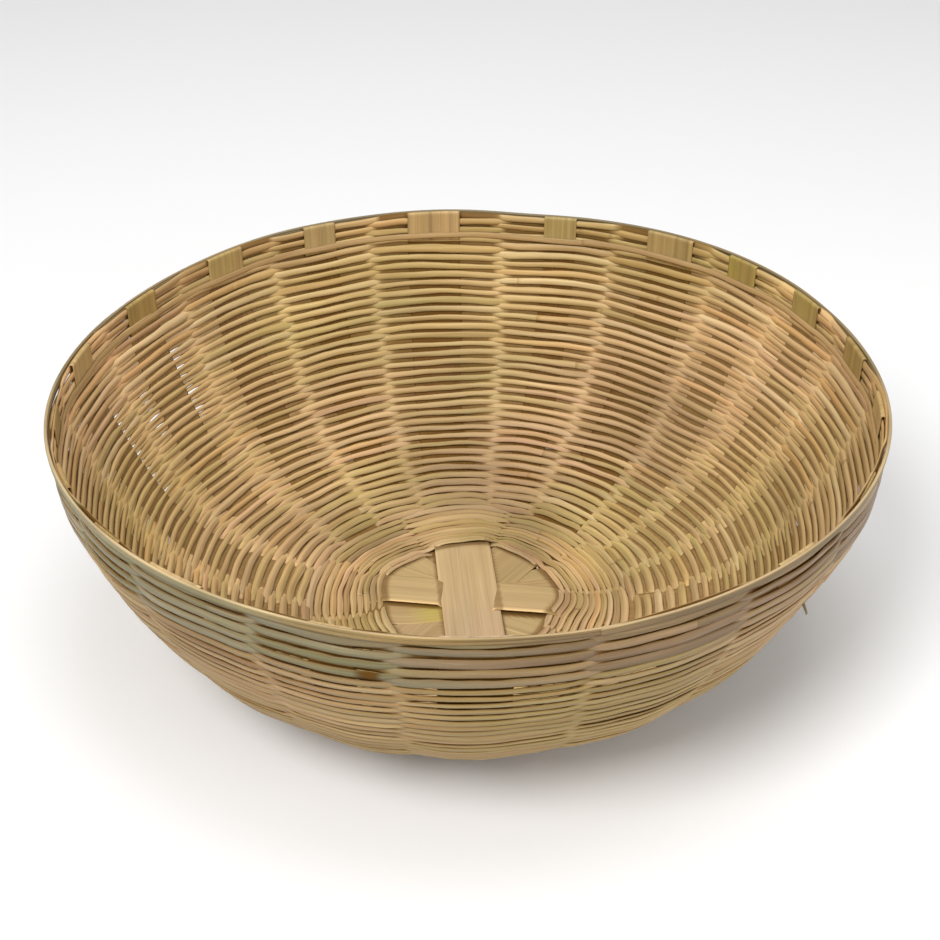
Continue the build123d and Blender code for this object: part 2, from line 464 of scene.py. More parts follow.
# ------------------------------------------------------------------ rows of weave
COURSES = [
    "hub_ring_weave", "inner_floor_weave", "outer_floor_weave", "lower_bend_weave", "upper_bend_weave",
    "lower_wall_weave", "middle_wall_weave", "upper_wall_weave", "under_rim_weave", "rim_weave",
]
S_RIM = float(np.interp(114.5, PATH[:, 1], S_TAB))
limits = [s_of_r(62.2)] + [s_of_r(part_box(n)[1].x * 1000 - 1.0) for n in COURSES[1:8]] + [S_RIM, 1e9]
meshes = {n: Mesh() for n in COURSES}

rows, pitches = [], []
s = float(s_of_r(48.0))
while s < S_END - 1.2:
    f = float(smooth((s - s_of_r(70.0)) / 26.0))
    pitch = 1.72 + (ROW_PITCH - 1.72) * f + 0.26 * math.exp(-0.5 * ((float(mid_at(s)[0]) - 112.0) / 14.0) ** 2)
    if s > S_RIM - 2:
        pitch = 2.70
    rows.append(s)
    pitches.append(pitch)
    s += pitch
k_fit = (S_END - 1.4 - rows[0]) / (rows[-1] - rows[0])
rows = [rows[0] + (v - rows[0]) * k_fit for v in rows]
radii = [float(mid_at(v)[0]) for v in rows]
N_PAIR = sum(r < PAIR_R for r in radii)
print("rows", len(rows), "in pairs", N_PAIR)
LOCK_Z = FOLD_Z - TAB_LENGTH + 2.0
i_lock = int(np.argmin([abs(float(mid_at(v)[1]) - LOCK_Z) for v in rows]))

# near the hub the rows pass over two slats at a time, and in the back three columns several lie side by side
pair_az = [ST_AZ[j] for j in range(N_ST) if ST_LV[j] < 5]
N_PC = len(pair_az)
pair_sign = np.zeros((N_PC, N_PAIR + 1))
for c in range(N_PC):
    mid_az = wrap(pair_az[c] + 20.0)
    if -55 < mid_az < 45:
        runs = {0: [3, 2, 2, 2, 2, 1, 2, 1, 1, 2, 1, 1, 1, 1], 1: [2, 3, 2, 2, 1, 2, 2, 1, 2, 1, 1, 1, 1, 1]}[c % 2]
        seq, sg = [], 1.0 if c % 2 == 0 else -1.0
        for n_r in runs * 2:
            seq += [sg] * n_r
            sg = -sg
        seq = seq[:N_PAIR]
    else:
        seq = [1.0 if (c + i) % 2 == 0 else -1.0 for i in range(N_PAIR)]
    pair_sign[c, :N_PAIR] = seq
pair_ds = np.zeros((N_PC, N_PAIR))
pair_w = np.zeros((N_PC, N_PAIR))
for c in range(N_PC):
    seq = pair_sign[c, :N_PAIR]
    starts = [0] + [i for i in range(1, N_PAIR) if seq[i] != seq[i - 1]] + [N_PAIR]
    mids = [(rows[p] + rows[q - 1]) / 2 for p, q in zip(starts[:-1], starts[1:])]
    for k, (p, q) in enumerate(zip(starts[:-1], starts[1:])):
        left = mids[k - 1] if k else rows[0] - 1.6
        right = mids[k + 1] if k + 1 < len(mids) else rows[min(N_PAIR, len(rows) - 1)]
        step = (right - left) / (q - p)
        for m_ in range(p, q):
            pair_ds[c, m_] = left + step * (m_ - p + 0.5) - rows[m_]
            pair_w[c, m_] = min(step * 0.94, 5.2)

SLITS = [(-78.2, 129, 192), (-58.6, 148, 199), (-69.0, 150, 188), (-89.0, 162, 175)]


def glint(phi, sv):
    """Where the weave stands open beside a slat."""
    f = np.zeros(np.shape(phi))
    for c, lo_s, hi_s in SLITS:
        f = np.maximum(f, np.exp(-0.5 * (wrap(phi - c) / 1.5) ** 2) * float(smooth((sv - lo_s) / 6.0) * smooth((hi_s - sv) / 6.0)))
    return f


hue_field = Wobble(7, 1.0, 30.0, 0.2)
value_field = Wobble(9, 0.085, 22.0, 0.2)

for i, s0 in enumerate(rows):
    rim = s0 > S_RIM
    r0 = radii[i]
    pairs = i < N_PAIR
    pitch = (rows[i + 1] - s0) if i + 1 < len(rows) else 2.7
    thick = (1.30 if not rim else 1.42) * RNG.uniform(0.92, 1.08)
    fill = 0.655 + 0.20 * float(1 - smooth((r0 - 86) / 45.0))
    w_full = 2 * pitch * fill * RNG.uniform(0.90, 1.10)
    if rim:
        w_full = 3.95 * RNG.uniform(0.95, 1.05)
    if pairs:
        thick = 0.98
    w_cross = pitch * 1.34
    hi, lo = coverage(r0)
    edges = sorted(column_edges(r0, pairs))
    if not pairs:
        edges = sorted(e + RNG.normal(0, 1.3) / r0 * 57.3 for e in edges)
    col = (np.searchsorted(np.array(edges), PHI, side="right") - 1) % len(edges)
    if pairs:
        order = np.argsort(np.array([e % 360.0 for e in column_edges(r0, True)]))
        sign = pair_sign[order[col], i]
    else:
        sign = np.where((col + i) % 2 == 0, 1.0, -1.0)      # +1: inside the bowl
    reach = SLAT_T / 2 + thick / 2 + 0.02
    if pairs:
        grow = max(1, int(round(math.degrees(1.7 / r0) / (360.0 / GRID))))
        up_run = sign > 0
        for q in range(1, grow + 1):
            up_run = up_run | np.roll(sign > 0, q) | np.roll(sign > 0, -q)
        target = np.where(up_run, hi + reach, lo - reach)
    else:
        target = np.where(sign > 0, hi + reach, lo - reach)
    known = ~np.isnan(target)
    if pairs:
        tiled = np.concatenate([PHI - 360, PHI, PHI + 360])
        kn3 = np.tile(known, 3)
        lin = np.interp(PHI, tiled[kn3], np.tile(target, 3)[kn3])
        t_off = ring_smooth(lin, r0, 2.6) + 0.10 * ring_smooth(sign, r0, 5.0)
    else:
        # between slats a row stays on its side, a little slack, and crosses half way
        lin = np.where(known, target, sign * thick * 0.45)
        t_off = ring_smooth(lin, r0, 3.0 + 1.0 * float(smooth((r0 - 90) / 60.0)))
    amp = reach if not pairs else 1.0
    sgn_s = ring_smooth(sign, r0, 3.0 if pairs else 4.6)
    level = np.abs(sgn_s)
    outside = 0.5 - 0.5 * sgn_s
    w_full = w_full * (1 + (0.20 if not rim else 0.14) * outside)
    width = w_cross + (w_full - w_cross) * smooth(level * 1.1)
    width = width * (1 - 0.42 * glint(PHI, s0))
    width = width * (1 + 0.14 * np.exp(-0.5 * (wrap(PHI - 100.0) / 24.0) ** 2) * float(smooth((s0 - 140) / 20.0)))
    # where the row runs along the wall
    fade = smooth((100.0 - r0) / 48.0)
    ds = drift(PHI, s0) * smooth((s0 - 12) / 30.0) * smooth((S_END - s0) / 25.0)
    ds = ds + breathe(PHI, s0 * 1.0) * (1.0 if not pairs else 0.5)
    ds = ds + (hub_edge - 47.2) * fade
    beside = smooth((np.abs(wrap(PHI)) - 45) / 35.0) * smooth((155 - np.abs(wrap(PHI))) / 30.0)
    ds = ds + 4.0 * beside * float(smooth((s0 - 46) / 42.0) * smooth((S_END - 4 - s0) / 120.0))
    if pairs:
        ds = ds + ring_smooth(pair_ds[order[col], i], r0, 6.0)
        w_here = ring_smooth(pair_w[order[col], i], r0, 6.0)
        width = w_here * (0.54 + 0.46 * smooth(level * 1.15))
    out_w = wall_shift(PHI, s0, r0)
    twist = Wobble(8, 0.16, 1.0)(PHI, 0.0)
    w_noise = 1 + Wobble(24, 0.10, 1.0, 0.3)(PHI, 0.0)
    width = width * w_noise

    # one or two splints make up the row
    n_run = 1 if RNG.random() < 0.55 else 2
    cuts = np.sort(RNG.uniform(0, 360, n_run))
    if n_run == 2 and (cuts[1] - cuts[0] < 60 or cuts[1] - cuts[0] > 300):
        cuts = cuts[:1]
    cuts = list(cuts)
    for c_i, start in enumerate(cuts):
        stop = cuts[c_i + 1] if c_i + 1 < len(cuts) else cuts[0] + 360.0
        lap = math.degrees(9.0 / r0)
        a0, a1 = start - lap, stop + lap
        length = math.radians(a1 - a0) * r0
        n = int(max(24, min(length / 3.0, 420) * (1 if r0 > 90 else 1.35)))
        az = np.linspace(a0, a1, n)
        g = lambda v: np.interp(az % 360.0, np.append(PHI, 360.0), np.append(v, v[0]))
        off, w, dss, ow, tw, sg = g(t_off), g(width), g(ds), g(out_w), g(twist), g(sgn_s)
        # the two ends lie over and under each other
        dist = np.minimum((az - a0), (a1 - az)) * math.pi / 180 * r0
        ends = 1 - smooth(dist / 20.0)
        lapdir = np.where(az - a0 < a1 - az, 1.0, -1.0)
        off = off + ends * lapdir * 0.42
        th = thick * (1 - 0.35 * ends)
        w = w * (1 - 0.10 * ends)
        sr = s0 + dss
        r, z, tr, tz = mid_at(sr)
        nr, nz = -tz, tr                       # towards the inside of the bowl
        ca, sa = np.cos(tw), np.sin(tw)
        y = SECTION[None, :, 0] * w[:, None]
        h = SECTION[None, :, 1] * th[:, None]
        # hand-split edges are not quite even
        uu = np.radians(az - a0) * r0
        rough = np.zeros((n, N_SEC))
        for _k in range(5):
            fr = RNG.uniform(0.05, 0.5, N_SEC)
            ph = RNG.uniform(0, 6.3, N_SEC)
            rough += RNG.normal(0, 0.034, N_SEC)[None, :] * np.sin(uu[:, None] * fr[None, :] + ph[None, :])
        y = y * (1 + rough * 0.8)
        h = h + rough * 0.9
        y2 = y * ca[:, None] - h * sa[:, None]
        h2 = y * sa[:, None] + h * ca[:, None] + (off - ow)[:, None]
        rr = r[:, None] + tr[:, None] * y2 + nr[:, None] * h2
        zz = z[:, None] + tz[:, None] * y2 + nz[:, None] * h2
        zz = np.maximum(zz, 0.02)
        a = np.radians(az)[:, None]
        pts = np.stack([rr * np.sin(a), rr * np.cos(a), zz], -1)
        # colour of this splint
        body = splint_tone()
        hf = hue_field(az, s0)
        vf = value_field(az, s0)
        body = body[None, :] * np.ones((n, 1))
        body = blend(body, PINK, 0.26 * np.clip(hf - 0.2, 0, 1.0))
        body = blend(body, OLIVE, 0.42 * np.clip(-hf, 0, 1.2))
        body = body * (1 + vf + Wobble(12, 0.07, 1.0)(az, 0.0))[:, None]
        body = body * (0.98 - 0.03 * float(1 - smooth((r0 - 92) / 45.0)))
        # painted light: rows high on the side walls lightened, more on the left
        body = body * (1 + np.where(wrap(az) < 0, 0.24, 0.16) * smooth((np.abs(wrap(az)) - 45) / 30) * smooth((125 - np.abs(wrap(az))) / 20) * float(smooth((s0 - 185) / 25)))[:, None]
        if pairs and r0 > 58:
            body = body * RNG.uniform(0.94, 1.20)
        tint = np.broadcast_to(body[:, None, :], (n, N_SEC, 3)).copy()
        if rim:
            green = 0.86 * pick([(GREEN, 0.30), (GREYGREEN, 0.70)]) + 0.14 * BUFF
            brown = pick([(BROWN, 0.6), (BUFF, 0.4)])
            q = wrap(az - 180.0)
            side = smooth((q + 12.0 + 8 * math.sin(i * 2.4)) / 30.0) * smooth((95.0 - q) / 40.0)
            skin = brown[None, :] * (1 - side)[:, None] + green[None, :] * side[:, None]
            # painted shade: the outer skin of the rim rows darkened overall, with painted light round 125 degrees
            skin = 0.52 * skin * (1 + 0.14 * np.exp(-0.5 * (wrap(az - 125) / 18) ** 2))[:, None] * (1 + Wobble(12, 0.12, 1.0)(az, 0.0))[:, None]
            outer = np.clip(-SECTION[:, 1] * 6, 0, 1)[None, :, None]
            tint = skin[:, None, :] * outer + tint * (1 - outer)
        else:
            # outer faces of the rows: a warmer hue of their own, darkened by painted shade, more towards the bottom of
            # the bowl, with painted light round 125 degrees
            base_dim = (1 - 0.36 * float(smooth((125 - r0) / 45.0))) * np.array([0.98, 1.0, 0.94])
            outer_hue_and_shade = base_dim * (1 - np.array([0.37, 0.40, 0.45]))
            outer_hue_and_shade = outer_hue_and_shade[None, None, :] * (1 + 0.14 * np.exp(-0.5 * (wrap(az - 125) / 18) ** 2))[:, None, None]
            under = np.clip(-SECTION[:, 1] * 6, 0, 1)[None, :, None]
            tint = tint * (1 - under + under * outer_hue_and_shade)
        # painted light and shade: the upper edge of each row lighter, the lower edge darker
        tint = tint * (1 + 0.42 * SECTION[:, 0][None, :, None] * (1.0 if not pairs else 0.5))
        # painted shade in the creases: on the section flanks, and on the face of a row that lies behind its neighbours
        flank = np.clip((np.abs(SECTION[:, 0]) - 0.33) / 0.17, 0, 1)[None, :]
        painted_shade = flank * (0.16 + 0.30 * np.abs(sg))[:, None]
        inner_face = np.clip(SECTION[:, 1] * 5 + 0.5, 0, 1)[None, :]
        side_lit = smooth((np.abs(wrap(az)) - 30) / 30.0) * smooth((150 - np.abs(wrap(az))) / 30.0)
        deep = 0.84 - 0.66 * side_lit if not pairs else 0.7
        painted_shade = painted_shade + inner_face * (deep * smooth((-sg - 0.28) * 2.6))[:, None]
        # painted light: on the side walls the inner face of a row lying behind is lightened
        tint = tint * (1 + 0.50 * inner_face * (side_lit * smooth((-sg - 0.28) * 2.6))[:, None])[:, :, None]
        # painted shade: a line along the top of a row lying inside, stronger on the side walls, and the outward face of
        # such a row
        top_shade_line = ((SECTION[:, 1] > 0.2) & (SECTION[:, 0] < 0) & (SECTION[:, 0] > -0.25)).astype(float)[None, :]
        painted_shade = painted_shade + top_shade_line * ((0.05 + 0.26 * side_lit) * smooth((sg - 0.2) * 2.0))[:, None]
        painted_shade = painted_shade + (1 - inner_face) * (0.85 * smooth((sg - 0.28) * 2.6))[:, None]
        # painted shade: a dark spot on the outer faces of one row, standing for a hole
        if abs(s0 - 211.0) < 3.2:
            hole_shade = np.exp(-((wrap(az + 168.5) / 1.3) ** 4))[:, None]
            painted_shade = np.maximum(painted_shade, (1 - inner_face) * hole_shade)
            tint = tint * (1 - 0.72 * hole_shade * (1 - inner_face))[:, :, None]
        # painted shade in the corners beside the folded ends on one side of the rim
        if i > i_lock:
            for j in range(N_ST):
                if 10 < wrap(ST_AZ[j]) < 90:
                    past = np.radians(wrap(az - ST_AZ[j])) * r0 - side_shift(j, r0) - ST_W[j] / 2
                    spot = smooth((past + 1.5) / 1.5) * smooth((7.5 - past) / 5.0) * float(smooth((S_END - 2.5 - s0) / 3.0))
                    painted_shade = np.maximum(painted_shade, np.maximum(inner_face * 0.35, flank) * 0.95 * spot[:, None])
        painted_shade = np.clip(painted_shade, 0, 1)
        fib = np.stack([np.broadcast_to((uu * 0.001)[:, None], (n, N_SEC)),
                        np.broadcast_to(SECTION[None, :, 0] * 2 + (SECTION[None, :, 1] > 0) * 3.0, (n, N_SEC)),
                        np.full((n, N_SEC), RNG.uniform(0, 1))], -1)
        which = next(k for k, lim in enumerate(limits) if s0 < lim)
        meshes[COURSES[which]].strip(pts, tint, fib, painted_shade)

# a stray end of a strip pokes out of the wall on one side
r_n, z_n, tr_n, tz_n = mid_at(float(np.interp(94.0, PATH[:, 1], S_TAB)))
step = np.linspace(0, 1, 7)
far = float(r_n) - 2.6 + 5.4 * step
drop = float(z_n) + 0.2 - 5.4 * step**1.3
az_n = np.radians(127.6 + 0.7 * step)
mid_n = np.stack([far * np.sin(az_n), far * np.cos(az_n), drop], -1)
across_n = np.stack([np.cos(az_n), -np.sin(az_n), 0 * az_n], -1)
up_n = np.array([0, 0, 1.0])
size_n = (1 - 0.45 * step)[:, None, None]
pts = mid_n[:, None, :] + size_n * (2.6 * SECTION[None, :, 0, None] * across_n[:, None, :] + 2.0 * SECTION[None, :, 1, None] * up_n)
fib = np.stack([np.broadcast_to((step * 0.004)[:, None], (7, N_SEC)), np.broadcast_to(SECTION[None, :, 0], (7, N_SEC)), np.full((7, N_SEC), 0.7)], -1)
meshes["upper_wall_weave"].strip(pts, (0.62 * GREYGREEN)[None, None, :], fib, 0.25 * np.ones((7, N_SEC)))

for name, mesh in meshes.items():
    mesh.make(name + "_rows", M_RIM if name == "rim_weave" else M_WEAVER,
              "rim_splint" if name == "rim_weave" else "weaver", [name])

# ------------------------------------------------------------------ slats
HUB_TONE = [srgb(208, 180, 128), srgb(204, 176, 124), srgb(202, 174, 122), srgb(192, 160, 110), srgb(212, 184, 136),
            srgb(198, 168, 118), srgb(196, 166, 118), srgb(190, 160, 112), srgb(198, 170, 120), srgb(196, 166, 116)]
TAB_TONE = {
    (0, 1): srgb(164, 140, 84), (1, 1): srgb(166, 138, 80), (2, 1): srgb(168, 144, 88), (3, 1): srgb(172, 148, 98),
    (4, 1): srgb(186, 154, 106), (5, 1): srgb(170, 148, 92), (6, 1): srgb(172, 146, 92), (7, 1): srgb(156, 136, 68),
    (8, 1): srgb(160, 138, 76), (9, 1): srgb(158, 132, 76),
}


FOLD_UP = 0.55                # the shown fold stands this much higher at the back


def slat_path(level, az):
    """Half path: rows of (x, z, kind) with kind 0 hub, 1 in the weave, 2 folded tab."""
    pts = [(x, float(slat_z(level, x)), 0) for x in np.concatenate([np.arange(0.0, 48.0, 1.25), np.arange(48.0, 70.0, 2.2)])]
    for sv in np.linspace(float(s_of_r(70.0)), S_END, 66):
        r, z, tr, tz = mid_at(sv)
        d = float(two_level(level, r)) - float(wall_shift(np.array([az]), sv, float(r))[0])
        pts.append((float(r - tz * d), float(z + tr * d), 1))
    top = FOLD_Z + FOLD_UP * (1.0 if abs(wrap(az)) < 88 else -1.6)
    r_end = pts[-1][0]
    pts[-1] = (r_end, top, 1)
    reach = WEAVE_T / 2 + 0.12 + SLAT_T / 2
    rho = reach / 2
    for k in range(1, 9):
        a = math.radians(22.5 * k)
        pts.append((r_end - rho + rho * math.cos(a), top + rho * 0.9 * math.sin(a), 2))
    z_low = FOLD_Z - TAB_LENGTH + RNG.uniform(-1.2, 0.4)
    for zt in np.linspace(top - 1.2, z_low, 9):
        sv = float(np.interp(zt, PATH[:, 1], S_TAB))
        r, z, tr, tz = mid_at(sv)
        pts.append((float(r - tz * reach), float(zt), 2))
    return pts


for k, (az, w, shift, level) in enumerate(SLATS):
    half_p = slat_path(level, az)
    half_n = slat_path(level, az + 180.0)
    full = [(-x, z, kd, -1) for x, z, kd in half_n[:0:-1]] + [(x, z, kd, 1) for x, z, kd in half_p]
    X = np.array([p[0] for p in full]); Z = np.array([p[1] for p in full])
    kind = np.array([p[2] for p in full]); side = np.array([p[3] for p in full])
    n = len(X)
    T = np.gradient(np.stack([X, Z], 1), axis=0)
    T /= np.linalg.norm(T, axis=1)[:, None]
    nx, nz = -T[:, 1], T[:, 0]
    u = np.concatenate([[0], np.cumsum(np.hypot(np.diff(X), np.diff(Z)))])
    m_top = 17
    t = np.concatenate([[-1.0], np.linspace(-0.90, 0.90, m_top - 2), [1.0]])
    ring = [(q, 0.5) for q in t] + [(1.0, 0.0)] + [(q, -0.5) for q in t[::-1]] + [(-1.0, 0.0)]
    ring = np.array(ring)
    m = len(ring)
    lat = ring[:, 0] * w / 2
    th = ring[:, 1] * SLAT_T * np.where(np.abs(ring[:, 0]) > 0.99, 0.72, 1.0)
    a = math.radians(az)
    d = np.array([math.sin(a), math.cos(a)]); nn = np.array([math.cos(a), -math.sin(a)])
    edge_w = Wobble(9, 0.55, 1.0)(u / u[-1] * 360 * 0.93, 0.0)
    flat = 1 - smooth((np.abs(X) - 58.0) / 34.0)
    pts = np.zeros((n, m, 3))
    taper = 1.0 - 0.0 * np.abs(X)
    Y = lat[None, :] * taper[:, None] + shift
    Y = Y + np.where(np.abs(ring[:, 0]) > 0.9, 1.0, 0.0)[None, :] * edge_w[:, None] * 0.5 * np.sign(ring[:, 0])[None, :] * (kind < 2)[:, None]
    for e_side in (1, -1):
        dr = END_DRIFT.get((k, e_side), 0.0)
        Y = Y + ((side == e_side) * smooth((np.abs(X) - 60.0) / 135.0) * dr * e_side)[:, None]
    if k == 9:
        Y = Y + (4.2 * (1 - smooth((np.abs(X) - 30.0) / 26.0)) * smooth((-X - 2.0) / 12.0))[:, None]
    # across the hub the strip is a little crowned
    crown = 0.10 * (1 - (ring[:, 0][None, :]) ** 2) * flat[:, None]
    off = th[None, :] + crown - 0.05 * flat[:, None]
    if k == 0:
        # its front edge stands off the slats under it: across = +1 is the back edge at this direction
        lean = 0.5 - 0.5 * ring[:, 0][None, :]
        flatline = smooth((np.abs(X) - 13.2) / 2.0) * smooth((50.0 - np.abs(X)) / 10.0)
        off = off + (0.35 + 1.25 * lean) * flatline[:, None]
    px = X[:, None] + nx[:, None] * off
    pz = Z[:, None] + nz[:, None] * off
    sgn = np.sign(px)
    rc = np.sqrt(np.maximum(px**2 - Y**2, 0.0)) * sgn
    curve = (1 - flat)[:, None]
    px = px * (1 - curve) + rc * curve
    pts[:, :, 0] = px * d[0] + Y * nn[0]
    pts[:, :, 1] = px * d[1] + Y * nn[1]
    pts[:, :, 2] = np.maximum(pz, 0.25)
    # colours along the slat
    hub_c, stake_shade = HUB_TONE[k] * 0.80, srgb(112, 80, 32)
    tab_p = TAB_TONE[(k, 1)]
    tab_n = pick([(srgb(190, 162, 110), 0.4), (srgb(200, 168, 128), 0.3), (srgb(180, 154, 100), 0.3)])
    if k == 0:
        tab_p, tab_n = srgb(186, 158, 104), srgb(178, 150, 96)
    if k >= 7:
        tab_n = srgb(160, 132, 80)
    if k == 4:
        tab_n = srgb(186, 160, 128)
    wall = smooth((np.abs(X) - 50.0) / 14.0)[:, None, None]
    lit_p, lit_n = (float(smooth((abs(wrap(v)) - 30.0) / 30.0) * smooth((150.0 - abs(wrap(v))) / 30.0)) for v in (az, az + 180.0))
    lit_side = np.where(side > 0, lit_p, lit_n)
    # painted shade: where the slat lies behind the rows in the wall it is dark, lighter on the side walls
    stake_shade_in_wall = stake_shade[None, None, :] + 0.72 * lit_side[:, None, None] * (srgb(172, 138, 86) - stake_shade)[None, None, :]
    tint = hub_c[None, None, :] * (1 - wall) + stake_shade_in_wall * wall
    tabc = np.where((side > 0)[:, None, None], tab_p[None, None, :], tab_n[None, None, :])
    top = ((kind == 2)).astype(float)[:, None, None]
    tint = tint * (1 - top) + tabc * top
    tint = np.broadcast_to(tint, (n, m, 3)).copy()
    # broad streaks along the strip, strong on the wide folded ends
    streak = RNG.normal(0, 1, m_top)
    streak = np.concatenate([streak, streak[-1:], streak[::-1], streak[:1]])
    amount = 0.045 * (1 - top[:, :, 0]) + (0.16 if k in (4, 6) else 0.08) * top[:, :, 0]
    tint = tint * (1 + amount * streak[None, :])[:, :, None]
    # painted highlight along both edges of the slat on the floor
    edge_light = (np.abs(ring[:, 0]) > 0.93).astype(float)[None, :, None] * (1 - wall)
    tint = tint * (1 + 0.34 * edge_light)
    # a stronger painted highlight on one edge of each of the two top slats
    if k == 4:
        tint = tint * (1 + 0.14 * (ring[:, 0] < -0.93).astype(float)[None, :, None] * (1 - wall))
    if k == 0:
        tint = tint * (1 + 0.42 * (ring[:, 0] < -0.86).astype(float)[None, :, None] * (1 - wall))
    # a strip of yellow-green skin left on one slat, and a rosy patch on the top one
    if k == 9:
        zone = np.exp(-0.5 * ((X + 20.0) / 6.5) ** 2)[:, None, None]
        tint = tint * (1 - 0.8 * zone) + 0.92 * srgb(190, 172, 84)[None, None, :] * 0.8 * zone
    if k == 8:
        zone = np.exp(-0.5 * ((X + 24.0) / 7.5) ** 2)[:, None, None]
        tint = tint * (1 - 0.6 * zone) + srgb(190, 174, 88)[None, None, :] * 0.6 * zone
    if k == 4:
        zone = np.exp(-0.5 * ((X + 24.0) / 14.0) ** 2)[:, None, None]
        tint = tint * (1 - 0.35 * zone) + 0.76 * srgb(206, 176, 150)[None, None, :] * 0.35 * zone
    # painted shade on the part of the slat inside the wall, less on the side walls
    painted_shade = (0.04 + (0.60 - 0.42 * lit_side) * smooth((np.abs(X) - 50.0) / 8.0)) * (kind < 2)
    painted_shade = np.broadcast_to(painted_shade[:, None], (n, m)).copy()
    # painted shade along the edge of the weave, and painted shadow in the crease under the two top slats
    wx, wy = pts[:, :, 0], pts[:, :, 1]
    wr, wp = np.hypot(wx, wy), np.degrees(np.arctan2(wx, wy))
    edge_r = np.interp(wp % 360.0, np.append(PHI, 360.0), np.append(hub_edge, hub_edge[0]))
    hubzone = (wr < 70.0) & (kind < 2)[:, None]
    upper = (ring[:, 1] > -0.1).astype(float)[None, :]
    painted_shade = np.maximum(painted_shade, 0.75 * smooth((wr - edge_r + 3.6) / 2.6) * hubzone * (0.35 + 0.65 * upper))
    for k_top in (0, 4):
        if k == k_top or SLATS[k][3] > SLATS[k_top][3]:
            continue
        at, wt, st = math.radians(SLATS[k_top][0]), SLATS[k_top][1], SLATS[k_top][2]
        across = wx * math.cos(at) - wy * math.sin(at) - st
        if k_top == 0:
            gap_d = -across - wt / 2
            depth = 0.95
        else:
            gap_d = np.abs(across) - wt / 2
            depth = 0.55
        painted_shade = np.maximum(painted_shade, depth * (1 - smooth((gap_d - 1.0) / (2.2 if k_top == 0 else 1.0))) * (gap_d > -3.0) * (wr < 50) * upper)
    fib = np.stack([np.broadcast_to((u * 0.001)[:, None], (n, m)), np.broadcast_to(ring[None, :, 0] * w / 24.0, (n, m)),
                    np.full((n, m), k * 0.37 + 0.11)], -1)
    mesh = Mesh()
    mesh.strip(pts, tint, fib, painted_shade)
    mesh.make("base_slat_%02d_strip" % (k + 1), M_SLAT, "slat", ["base_slat_%02d" % (k + 1)])

# ------------------------------------------------------------------ rim hoop
hoop = Mesh()
sec = np.array([(-1, 0.5), (-0.7, 0.97), (0.6, 1.0), (1, 0.7), (1.05, 0.25), (1.1, 0.0), (1.1, -0.4), (1.0, -0.8),
                (0.7, -1.0), (-0.7, -1.0), (-1, -0.8), (-1, 0.0)])
HOOP_TONE = [(0, 112, 104, 78), (40, 108, 98, 70), (80, 118, 104, 72), (110, 128, 112, 76), (140, 128, 108, 74),
             (160, 132, 110, 74), (172, 128, 106, 66), (184, 146, 118, 66), (198, 150, 126, 78), (208, 132, 124, 88),
             (240, 130, 124, 92), (262, 140, 124, 88), (285, 138, 118, 84), (320, 120, 108, 80), (360, 112, 104, 78)]
ha = np.array([h[0] for h in HOOP_TONE], float)
hc = np.array([srgb(*h[1:]) for h in HOOP_TONE])
for a0, a1 in ((158.0, 292.0), (285.0, 428.0), (61.0, 165.0)):
    n = int((a1 - a0) * 1.8)
    az = np.linspace(a0, a1, n)
    w_out, w_top, w_hgt, w_split = Wobble(20, 0.16, 1.0)(az, 0.0), Wobble(16, 0.40, 1.0)(az, 0.0), Wobble(12, 0.5, 1.0)(az, 0.0), Wobble(14, 0.12, 1.0)(az, 0.0)
    for strand in (0, 1):
        dist = np.minimum(az - a0, a1 - az) * math.pi / 180 * RIM_R
        ends = 1 - smooth(dist / 22.0)
        first = np.where(az - a0 < a1 - az, 1.0, -1.0)
        ro = 199.05 - 0.30 * ends * first + w_out
        front = smooth((np.abs(wrap(az)) - 80.0) / 30.0)
        topz = HEIGHT - 0.95 + 0.35 * front + w_top - 0.4 * ends
        hgt = 4.4 - 0.7 * front + w_hgt
        split = 0.40 + w_split
        if strand == 0:
            hgt = hgt * split
        else:
            topz = topz - hgt * split + 0.55
            hgt = hgt * (1 - split) + 0.5
            ro = ro - 0.16 + Wobble(20, 0.10, 1.0)(az, 0.0)
        half_t = 0.72 * (1 - 0.3 * ends)
        rr = ro[:, None] + sec[None, :, 0] * half_t[:, None]
        zz = (topz - hgt / 2)[:, None] + sec[None, :, 1] * (hgt / 2)[:, None]
        a = np.radians(az)[:, None]
        pts = np.stack([rr * np.sin(a), rr * np.cos(a), np.minimum(zz, HEIGHT + 0.2)], -1)
        # painted shade: the lower strand a little darker than the upper one
        tone = (0.92 if strand else 1.0) * np.stack([np.interp(az % 360.0, ha, hc[:, c]) for c in range(3)], -1)
        cream = blend(tone * 1.05, srgb(184, 160, 120), 0.70 * front + 0.10)
        inner = ((sec[:, 0] < 0.5) & (sec[:, 1] > -0.5)) | (sec[:, 1] > 0.9)
        tint = np.where(inner[None, :, None], cream[:, None, :], tone[:, None, :])
        tint = tint * (1 + Wobble(30, 0.22, 1.0, 0.4)(az, 0.0))[:, None, None]
        # painted light and shade: each strand lighter at its top and darker at its bottom, and painted shade along its
        # underside
        tint = tint * (0.90 + 0.26 * sec[:, 1])[None, :, None]
        painted_shade = np.where(sec[:, 1] < -0.5, 0.45, 0.06)[None, :] * (1 + 0.8 * Wobble(40, 0.5, 1.0, 0.2)(az, 0.0))[:, None]
        painted_shade = np.clip(painted_shade, 0, 1)
        fib = np.stack([np.broadcast_to((np.radians(az - a0) * 0.2)[:, None], (n, len(sec))),
                        np.broadcast_to(sec[None, :, 1] * 1.5, (n, len(sec))), np.full((n, len(sec)), a0 * 0.01 + 0.37 * strand)], -1)
        hoop.strip(pts, tint, fib, painted_shade)
hoop.make("rim_hoop_splints", M_RIM, "rim_splint", ["rim_hoop"])

